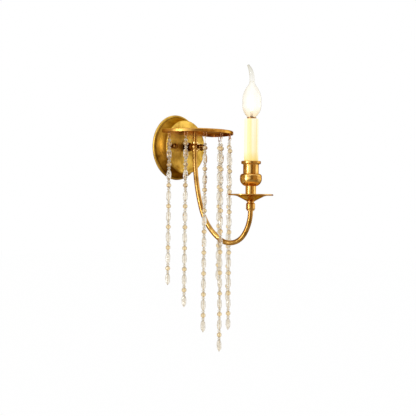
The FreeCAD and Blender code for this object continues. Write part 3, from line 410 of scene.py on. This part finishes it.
resin = candle_resin()
bulb_glass = flame_glass("blown_bulb_glass", edge_tint="#F1ECDC", foot_tint="#F8EED8",
                         foot_share=0.22, tip_tint="#DDDBCF", glow=0.05)
stem_glass = flame_glass("browned_stem_glass", edge_tint="#E9E4D6", foot_tint="#8A4420",
                         foot_share=0.14, tip_tint=WHITE, glow=0.0)

# %% [markdown]
# ## Cut crystal
# The clear beads are cut crystal and the gold ones carry a champagne lustre, fired on, so
# their edges are amber and their middles pale. Real lead crystal has a refractive index of
# about 1.55. At this size that would turn most facets black or blazing white, so the beads
# use 1.45 and 1.5 with a slight roughness, which keeps them as calm as small beads look. They
# also glow very faintly, for the bulb's light that real beads catch and scatter.

# %% Crystal
BEAD_LIGHT, BEAD_GLOW = "#FFF8EC", 0.03


def crystal(name, tint, edge_tint, index, rough):
    """Cut glass, pale where a facet faces the eye and deeper where it is seen at a slant."""
    material, tree, shader = new_material(name)
    slant = add_node(tree, "ShaderNodeLayerWeight", {"Blend": 0.5})
    colour = add_node(tree, "ShaderNodeValToRGB", {0: slant.outputs["Facing"]},
                      stops=((0.0, tint), (1.0, edge_tint)))
    tree.links.new(colour.outputs["Color"], shader.inputs["Base Color"])
    shader.inputs["Emission Color"].default_value = linear(BEAD_LIGHT)
    shader.inputs["Emission Strength"].default_value = BEAD_GLOW
    shader.inputs["Roughness"].default_value = rough
    shader.inputs["IOR"].default_value = index
    shader.inputs["Transmission Weight"].default_value = 1.0
    return material


clear_crystal = crystal("cut_lead_crystal", "#F5F0E4", "#CDBEAA", index=1.45, rough=0.1)
gold_crystal = crystal("champagne_lustre_crystal", "#F6E4B8", "#B98444", index=1.5, rough=0.08)

# %% [markdown]
# ## Finishes go on the solids
# A finish is given to a CAD part by filling its material slots. The parts themselves are
# never moved or changed.

# %% Put the finishes on
FINISHES = (
    (plate_brass, "backplate"),
    (lit_knuckle_brass, "knuckle"),
    (shaded_brass, "cap_nuts boss_collar front_cap"),
    (tray_brass, "bead_tray tray_nut stem_tube"),
    (candle_brass, "arm_collar bobeche cup_stem candle_cup"),
    (tube_brass, "arm_tube"),
    (zinc_steel, "mounting_bracket bracket_studs plate_nipple nipple_nut threaded_rod "
                 "cup_nut holder_post"),
    (white_plastic, "terminal_block lamp_holder"),
    (pressed_brass, "screw_shell holder_contact"),
    (lead_insulation, "supply_leads"),
    (resin, "candle_sleeve"),
    (nickel_cap, "bulb_cap"),
    (black_glass, "bulb_contact"),
    (bulb_glass, "bulb_glass"),
    (stem_glass, "glass_stem"),
    (tungsten, "filament"),
)
STRANDS = range(1, 8)
finish_of = {name: material for material, names in FINISHES for name in names.split()}
finish_of["tray_eyes"] = copper_wire
for k in STRANDS:
    finish_of[f"hanging_link_{k}"] = copper_wire
    finish_of[f"strand_{k}_wire"] = strand_wire
    finish_of[f"strand_{k}_gold_beads"] = gold_crystal
    finish_of[f"strand_{k}_clear_beads"] = clear_crystal
for name, material in finish_of.items():
    nodes[name].data.materials.clear()
    nodes[name].data.materials.append(material)
print("finished", len(finish_of), "of", len(nodes), "nodes")

# %% [markdown]
# ## One bead of each cut
# A cut bead is a stack of rings of corners. Each ring is turned half a facet from the one
# below, so the flats between them are the diamonds that a cutter grinds. A sphere would be
# quicker, but it has no flats and would not sparkle. The bore for the wire is part of the
# mesh, so the surface goes from the outside, through the hole and back.

# %% The bead cutter
def cut_bead(name, rings, facets, bore):
    """A faceted bead from (radius, height) rings in millimetres, bored along its middle."""
    rows = [(bore, rings[0][1])] + list(rings) + [(bore, rings[-1][1])]
    mesh = bmesh.new()
    corners = []
    for row, (radius, height) in enumerate(rows):
        half_turn = (row % 2) * 0.5
        corners.append([mesh.verts.new((
            radius * MM * math.cos(2 * math.pi * (i + half_turn) / facets),
            radius * MM * math.sin(2 * math.pi * (i + half_turn) / facets),
            height * MM)) for i in range(facets)])
    for row in range(len(rows)):
        above = (row + 1) % len(rows)
        lower, upper = corners[row], corners[above]
        lean = (above % 2) - (row % 2)
        for i in range(facets):
            j = (i + 1) % facets
            if lean > 0:
                mesh.faces.new((lower[i], lower[j], upper[i]))
                mesh.faces.new((upper[i], lower[j], upper[j]))
            elif lean < 0:
                mesh.faces.new((lower[i], upper[j], upper[i]))
                mesh.faces.new((lower[i], lower[j], upper[j]))
            else:
                mesh.faces.new((lower[i], lower[j], upper[j], upper[i]))
    bmesh.ops.recalc_face_normals(mesh, faces=mesh.faces)
    data = bpy.data.meshes.new(name)
    mesh.to_mesh(data)
    mesh.free()
    return bpy.data.objects.new(name, data)


# all in millimetres, the bore as a radius
WIRE_BORE = 0.5
GOLD_LENGTH, SMALL_LENGTH, LONG_LENGTH, BEAD_GAP = 7.8, 4.4, 17.6, 0.2
GOLD_RINGS = (1.8, -3.9), (3.6, -2.3), (4.3, 0.0), (3.6, 2.3), (1.8, 3.9)
SMALL_RINGS = (1.3, -2.2), (3.0, -0.6), (3.0, 0.6), (1.3, 2.2)
LONG_RINGS = (2.0, -8.8), (3.7, -5.7), (4.2, -2.0), (4.2, 2.0), (3.7, 5.7), (2.0, 8.8)
GOLD_FACETS, CLEAR_FACETS = 8, 6
gold_bead = cut_bead("gold_bead", GOLD_RINGS, GOLD_FACETS, WIRE_BORE)
small_bead = cut_bead("small_bead", SMALL_RINGS, CLEAR_FACETS, WIRE_BORE)
long_bead = cut_bead("long_bead", LONG_RINGS, CLEAR_FACETS, WIRE_BORE)
print("faces in a bead:", [len(b.data.polygons) for b in (gold_bead, small_bead, long_bead)])

# %% [markdown]
# ## Threading the strands
# Each strand repeats a long bead, a small one, a gold one and a small one, 35 mm in all. That
# is a row of copies at an even pitch, so a small Geometry Nodes tree lays one row: a line of
# points, a bead on each, turned at random about the wire and leaning a little as loose beads
# do. A strand's clear beads are three such rows, so three modifiers with the same tree stand
# on one mesh, and each adds its row to what the ones above it made.

# %% The tree that lays a row of beads
def bead_row_tree():
    """A tree that adds one row of beads to the rows it is given."""
    tree = bpy.data.node_groups.new("bead_row", "GeometryNodeTree")
    sockets = (("Geometry", "Geometry"), ("Bead", "Object"), ("Count", "Int"),
               ("Lowest", "Vector"), ("Pitch", "Float"), ("Lean", "Float"), ("Seed", "Int"),
               ("Glass", "Material"))
    for name, kind in sockets:
        tree.interface.new_socket(name, in_out="INPUT", socket_type="NodeSocket" + kind)
    tree.interface.new_socket("Geometry", in_out="OUTPUT", socket_type="NodeSocketGeometry")
    given = add_node(tree, "NodeGroupInput", {}).outputs
    step = add_node(tree, "ShaderNodeCombineXYZ", {"Z": given["Pitch"]})
    line = add_node(tree, "GeometryNodeMeshLine", {
        "Count": given["Count"], "Start Location": given["Lowest"], "Offset": step.outputs[0]})
    bead = add_node(tree, "GeometryNodeObjectInfo", {"Object": given["Bead"]})
    back = add_node(tree, "ShaderNodeMath", {
        "operation": "MULTIPLY", 0: given["Lean"], 1: -1.0})
    least = add_node(tree, "ShaderNodeCombineXYZ", {"X": back.outputs[0], "Y": back.outputs[0]})
    most = add_node(tree, "ShaderNodeCombineXYZ", {
        "X": given["Lean"], "Y": given["Lean"], "Z": 2 * math.pi})
    turn = add_node(tree, "FunctionNodeRandomValue", {
        "data_type": "FLOAT_VECTOR", "Min": least.outputs[0], "Max": most.outputs[0],
        "Seed": given["Seed"]})
    beads = add_node(tree, "GeometryNodeInstanceOnPoints", {
        "Points": line.outputs["Mesh"], "Instance": bead.outputs["Geometry"],
        "Rotation": turn.outputs["Value"]})
    joined = add_node(tree, "GeometryNodeJoinGeometry", {"Geometry": given["Geometry"]})
    tree.links.new(beads.outputs["Instances"], joined.inputs["Geometry"])
    real = add_node(tree, "GeometryNodeRealizeInstances", {"Geometry": joined.outputs[0]})
    glazed = add_node(tree, "GeometryNodeSetMaterial", {
        "Geometry": real.outputs[0], "Material": given["Glass"]})
    add_node(tree, "NodeGroupOutput", {"Geometry": glazed.outputs[0]})
    return tree


row_tree = bead_row_tree()
ROW_SOCKETS = {item.name: item.identifier for item in row_tree.interface.items_tree
               if item.in_out == "INPUT"}

# %% [markdown]
# The lowest point of a strand's wire gives where its stack begins, so the rows follow the CAD
# model if a strand's length changes. When the rows are laid, the result is turned into a
# plain mesh, takes the place of the CAD beads, and rides on the strand's body.

# %% Thread the seven strands
PITCH = GOLD_LENGTH + 2 * SMALL_LENGTH + LONG_LENGTH + 4 * BEAD_GAP
END_BALL = 1.8                          # the wire's closing ball, across
LEAN = math.radians(3)
SEEDS_PER_STRAND, CLEAR_SEED = 10, 5    # so that no two rows are turned alike


def thread(name, rows, place, count, glass, seed):
    """A plain mesh of bead rows. Each row is a bead and the height of its lowest centre."""
    blank = bpy.data.objects.new(name + "_rows", bpy.data.meshes.new(name + "_rows"))
    bpy.context.scene.collection.objects.link(blank)
    for number, (bead, height) in enumerate(rows):
        values = {"Bead": bead, "Count": count, "Lowest": (place.x, place.y, height),
                  "Pitch": PITCH * MM, "Lean": LEAN, "Seed": seed + number, "Glass": glass}
        modifier = blank.modifiers.new(f"row_{number}", "NODES")
        modifier.node_group = row_tree
        for key, value in values.items():
            modifier[ROW_SOCKETS[key]] = value
    bpy.context.view_layer.update()
    seen = blank.evaluated_get(bpy.context.evaluated_depsgraph_get())
    mesh = bpy.data.meshes.new_from_object(seen)
    bpy.data.objects.remove(blank)
    piece = bpy.data.objects.new(name, mesh)
    bpy.context.scene.collection.objects.link(piece)
    return piece


for k in STRANDS:
    low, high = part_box(f"strand_{k}_wire")
    middle = (low + high) / 2
    count = round((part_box(f"strand_{k}_clear_beads")[1].z - low.z) / (PITCH * MM))
    bottom = low.z + (END_BALL + BEAD_GAP) * MM
    long_centre = bottom + LONG_LENGTH / 2 * MM
    under_gold = bottom + (LONG_LENGTH + BEAD_GAP + SMALL_LENGTH / 2) * MM
    gold_centre = under_gold + (SMALL_LENGTH / 2 + BEAD_GAP + GOLD_LENGTH / 2) * MM
    over_gold = gold_centre + (GOLD_LENGTH / 2 + BEAD_GAP + SMALL_LENGTH / 2) * MM
    seed = SEEDS_PER_STRAND * k
    gold = thread(f"champagne_beads_{k}", [(gold_bead, gold_centre)], middle, count,
                  gold_crystal, seed)
    clear = thread(f"crystal_beads_{k}", [(long_bead, long_centre), (small_bead, under_gold),
                                          (small_bead, over_gold)], middle, count,
                   clear_crystal, seed + CLEAR_SEED)
    for piece, node, slot in ((gold, f"strand_{k}_gold_beads", "champagne_gold_bead"),
                              (clear, f"strand_{k}_clear_beads", "clear_crystal")):
        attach(piece, f"strand_{k}")
        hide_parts(node)
    print(f"strand {k}: {count} repeats, {len(clear.data.polygons)} crystal faces")

# %% [markdown]
# ## The studio
# Bright metal and glass show what stands round them, so a photographer builds a room for
# them: a large soft lamp on each side, a narrow strip lamp that draws the bright line down
# the brass, one lamp overhead, a white backdrop, and brown and tan flags between the lamps
# that draw the dark lines. Black flags would look harsher than the real lamp does. The
# backdrop is white for rays that come from the camera, from a reflection or through glass,
# and everything else gets a weaker light from it.

# %% The backdrop
FILL_LIGHT, FILL_STRENGTH = "#F4F2EE", 0.75     # what the diffuse surfaces get from all round


def world_light():
    """White where it is seen, and a weaker soft light everywhere else."""
    world = bpy.data.worlds.new("studio")
    world.use_nodes = True
    tree = world.node_tree
    tree.nodes.clear()
    rays = add_node(tree, "ShaderNodeLightPath", {}).outputs
    seen = add_node(tree, "ShaderNodeMath", {
        "operation": "MAXIMUM", 0: rays["Is Camera Ray"], 1: rays["Is Glossy Ray"]})
    seen = add_node(tree, "ShaderNodeMath", {
        "operation": "MAXIMUM", 0: seen.outputs[0], 1: rays["Is Transmission Ray"]})
    fill = add_node(tree, "ShaderNodeBackground", {
        "Color": linear(FILL_LIGHT), "Strength": FILL_STRENGTH})
    white = add_node(tree, "ShaderNodeBackground", {"Color": linear(WHITE), "Strength": 1.0})
    mixed = add_node(tree, "ShaderNodeMixShader", {
        0: seen.outputs[0], 1: fill.outputs[0], 2: white.outputs[0]})
    add_node(tree, "ShaderNodeOutputWorld", {"Surface": mixed.outputs[0]})
    return world


bpy.context.scene.world = world_light()
bpy.context.scene.view_settings.view_transform = "Standard"

# %% [markdown]
# A floor well below the lamp sends some warm light up. The camera has to see it as white as
# the backdrop, but in a reflection a white floor would turn the brass's undersides white. The
# Light Path node tells the rays apart, so the one sheet can be white and beige.

# %% The floor
def flat_sheet(name, corners, material):
    """One flat four-cornered piece of the studio."""
    data = bpy.data.meshes.new(name)
    data.from_pydata(corners, [], [(0, 1, 2, 3)])
    sheet = bpy.data.objects.new(name, data)
    data.materials.append(material)
    bpy.context.scene.collection.objects.link(sheet)
    return sheet


FLOOR_HEIGHT, FLOOR_HALF = -0.62, 6.0
FLOOR_PAINT = "#B9AB92"
WHITE_TO_CAMERA, WHITE_THROUGH_GLASS = 0.995, 0.75


def floor_paint():
    """White to the camera, nearly white through glass, and beige to reflections."""
    material, tree, shader = new_material("floor_paint")
    shader.inputs["Base Color"].default_value = linear(FLOOR_PAINT)
    shader.inputs["Roughness"].default_value = 0.8
    rays = add_node(tree, "ShaderNodeLightPath", {}).outputs
    white = add_node(tree, "ShaderNodeEmission", {"Color": linear(WHITE), "Strength": 1.0})
    seen = add_node(tree, "ShaderNodeMath", {
        "operation": "MULTIPLY", 0: rays["Is Camera Ray"], 1: WHITE_TO_CAMERA})
    through = add_node(tree, "ShaderNodeMath", {
        "operation": "MULTIPLY", 0: rays["Is Transmission Ray"], 1: WHITE_THROUGH_GLASS})
    share = add_node(tree, "ShaderNodeMath", {
        "operation": "MAXIMUM", 0: seen.outputs[0], 1: through.outputs[0]})
    mixed = add_node(tree, "ShaderNodeMixShader", {
        0: share.outputs[0], 1: shader.outputs[0], 2: white.outputs[0]})
    tree.links.new(mixed.outputs[0], tree.nodes["Material Output"].inputs["Surface"])
    return material


FLOOR_CORNERS = [(x * FLOOR_HALF, y * FLOOR_HALF, FLOOR_HEIGHT)
                 for x, y in ((-1, -1), (1, -1), (1, 1), (-1, 1))]
flat_sheet("studio_floor", FLOOR_CORNERS, floor_paint())

# %% [markdown]
# Directions in the studio are angles round the lamp, seen from above, and counted from the
# camera: minus is to the camera's left, plus to its right. Straight behind the lamp is 180.
# The lamps add to the white backdrop wherever both are reflected, so they are kept weak. The
# strip is bright but narrow.

# %% The lamps
CAMERA_SIDE = math.atan2(CAMERA_PLACE.y, CAMERA_PLACE.x)
AIM = Vector((0.0, -0.08, -0.08))


def towards(angle, distance, height):
    """A point of the studio at an angle from the camera's side of the lamp."""
    turned = CAMERA_SIDE + math.radians(angle)
    return AIM + Vector((distance * math.cos(turned), distance * math.sin(turned), height))


def soft_lamp(name, place, width, height, radiance):
    """A rectangular soft lamp that looks at the sconce. Radiance 1 looks just white."""
    light = bpy.data.lights.new(name, "AREA")
    light.shape = "RECTANGLE"
    light.size, light.size_y = width, height
    light.energy = radiance * math.pi * width * height
    lamp = bpy.data.objects.new(name, light)
    lamp.location = place
    lamp.rotation_euler = (AIM - place).to_track_quat("-Z", "Y").to_euler()
    bpy.context.scene.collection.objects.link(lamp)
    lamp.visible_camera = False
    lamp.visible_transmission = False


LAMPS = (       # name, (angle, distance, height), (width, height), radiance
    ("left_soft_lamp", (-42, 1.15, 0.15), (0.75, 1.1), 0.55),
    ("left_strip_lamp", (-52, 1.0, 0.1), (0.1, 1.1), 11.0),
    ("right_soft_lamp", (97, 1.1, 0.15), (1.1, 1.3), 0.5),
    ("top_soft_lamp", (20, 0.35, 1.2), (0.7, 0.7), 0.7),
)
for name, place, (width, height), radiance in LAMPS:
    soft_lamp(name, towards(*place), width, height, radiance)
print("lamps:", len(LAMPS))

# %% [markdown]
# The flags stand two metres away, each between two angles, so an edge can be moved until its
# line falls where the photograph has it. Real cloth would take light from the lamps, and its
# tone would change with each of them, so these flags simply show their own tone. They are seen
# only in reflections, and they cast no shadow.

# %% The flags
def flag_cloth(name, tone):
    """A cloth of one even tone, whatever light falls on it."""
    material, tree, _ = new_material(name)
    glow = add_node(tree, "ShaderNodeEmission", {"Color": linear(tone), "Strength": 1.0})
    tree.links.new(glow.outputs[0], tree.nodes["Material Output"].inputs["Surface"])
    return material


brown_cloth = flag_cloth("brown_flag_cloth", "#86693F")
tan_cloth = flag_cloth("tan_flag_cloth", "#C4A26A")

FLAG_BOTTOM, FLAG_TOP, FLAG_DISTANCE = -0.5, 1.6, 2.0
FLAGS = (       # name, left angle, right angle, cloth
    ("flag_camera_right", -8, 22, brown_cloth),
    ("flag_right", 22, 66, tan_cloth),
    ("flag_left", -120, -72, tan_cloth),
    ("flag_far_left", -160, -120, brown_cloth),
    ("flag_far_right", 132, 155, brown_cloth),
)
for name, left, right, cloth in FLAGS:
    sheet = flat_sheet(name, [towards(angle, FLAG_DISTANCE, height) for angle, height in (
        (left, FLAG_BOTTOM), (right, FLAG_BOTTOM), (right, FLAG_TOP), (left, FLAG_TOP))], cloth)
    sheet.visible_camera = sheet.visible_diffuse = sheet.visible_shadow = False
    sheet.visible_transmission = False
print("flags:", len(FLAGS))
